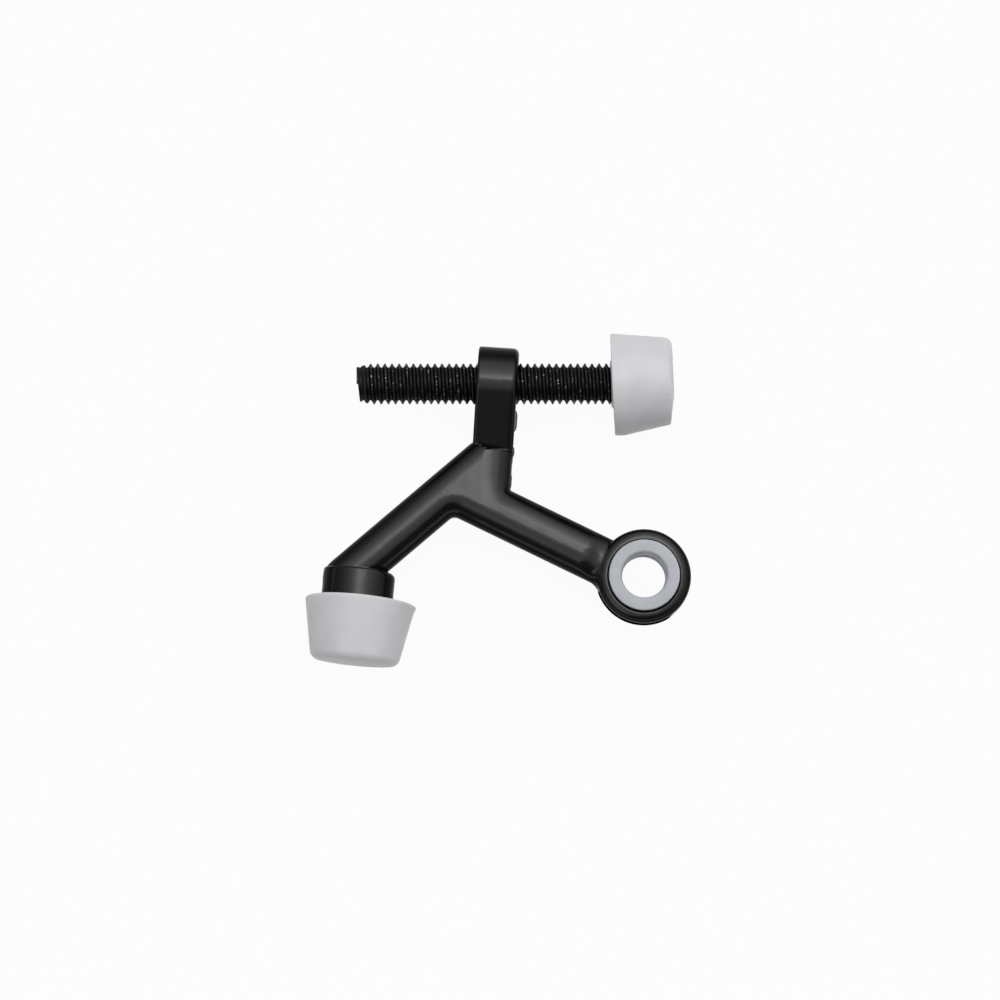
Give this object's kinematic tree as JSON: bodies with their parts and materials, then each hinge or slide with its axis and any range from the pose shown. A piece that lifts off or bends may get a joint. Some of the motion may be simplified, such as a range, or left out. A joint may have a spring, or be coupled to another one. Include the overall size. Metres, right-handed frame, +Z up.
{
  "type": "hinge pin door stop",
  "caption": "Cast two-armed door stop that hangs on a hinge pin, with a screw rod and rubber bumpers for the door and the jamb.",
  "frame": {"origin": "middle of the hinge pin's bore, halfway between the two bushing faces", "axes": "+Z up along the hinge pin, +X along the screw rod towards the door bumper, +Y from the ring towards the rod"},
  "size_m": [0.0757, 0.0659, 0.0216],
  "materials": {
    "black_casting": "satin black powder coat",
    "grey_nylon": "pale grey nylon, semi-matt",
    "black_steel": "blackened steel with brighter crests",
    "grey_rubber": "soft pale grey rubber"
  },
  "bodies": {
    "casting": {"cast_body": "black_casting", "upper_bushing": "grey_nylon", "lower_bushing": "grey_nylon", "jamb_bumper": "grey_rubber"},
    "door_cap": {"door_bumper": "grey_rubber"},
    "rod": {"threaded_rod": "black_steel"}
  },
  "joints": [
    {"name": "rod_travel", "type": "slide", "parent": "casting", "child": "door_cap", "axis": [1, 0, 0], "range_m": [-0.0175, 0.0222]},
    {"name": "rod_turn", "type": "hinge", "parent": "door_cap", "child": "rod", "pos_m": [-0.0288, 0.0384, 0], "axis": [1, 0, 0], "range_deg": [-4500, 5700]}
  ],
  "couplings": [
    {"joint": "rod_turn", "follows": "rod_travel", "rad_per_m": 4453}
  ]
}
